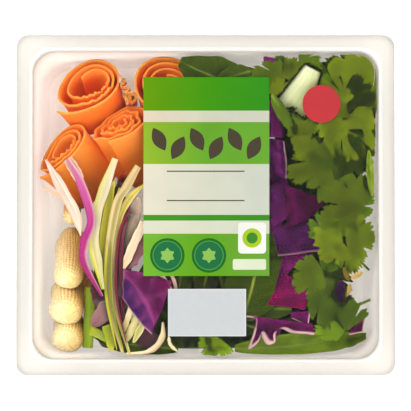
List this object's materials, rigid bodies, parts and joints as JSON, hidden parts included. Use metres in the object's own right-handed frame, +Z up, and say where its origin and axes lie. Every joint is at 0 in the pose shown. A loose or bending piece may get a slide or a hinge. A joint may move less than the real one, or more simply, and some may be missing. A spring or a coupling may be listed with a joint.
{
  "type": "tray of stir-fry vegetables",
  "caption": "Shallow film-lidded tray of raw stir-fry vegetables: rolled carrot ribbons, baby corn, onion and leek shreds, red cabbage and green leaves under a printed label.",
  "frame": {"origin": "on the floor under the middle of the tray's outline", "axes": "+Z up out of the film lid, +X along the longer side, to the right of a person reading the label, +Y towards the label's head"},
  "size_m": [0.22, 0.198, 0.0481],
  "materials": {
    "polypropylene": "translucent white",
    "clear_film": "clear gloss",
    "printed_film": "satin print",
    "date_panel": "matte",
    "sticker": "satin print",
    "carrot": "moist raw carrot",
    "corn": "moist raw baby corn",
    "stalk": "moist raw stalk",
    "shreds": "moist raw onion and leek",
    "cabbage": "moist raw red cabbage",
    "smooth_leaf": "waxy raw leaf",
    "coriander": "matte raw leaf"
  },
  "bodies": {
    "root": {"tray": "polypropylene", "lid_film": "clear_film", "label": "printed_film", "date_label": "date_panel", "round_sticker": "sticker", "carrot_roll_1": "carrot", "carrot_roll_2": "carrot", "carrot_roll_3": "carrot", "carrot_roll_4": "carrot", "carrot_curl": "carrot", "corn_cob_1": "corn", "corn_cob_2": "corn", "corn_cob_3": "corn", "corn_stub": "corn", "corn_tip": "corn", "green_stalk": "stalk", "pak_choi_stalk": "stalk", "cabbage_low_strip": "cabbage", "cabbage_band": "cabbage", "cabbage_tall_leaf": "cabbage", "cabbage_upper_strip": "cabbage", "cabbage_fold": "cabbage", "cabbage_square": "cabbage", "cabbage_small": "cabbage", "cabbage_ruffle": "cabbage", "cabbage_corner": "cabbage", "cabbage_top_bit": "cabbage", "cabbage_big": "cabbage", "shred_bundle": "shreds", "leaf_heap": "smooth_leaf", "coriander_heap": "coriander"}
  },
  "joints": []
}
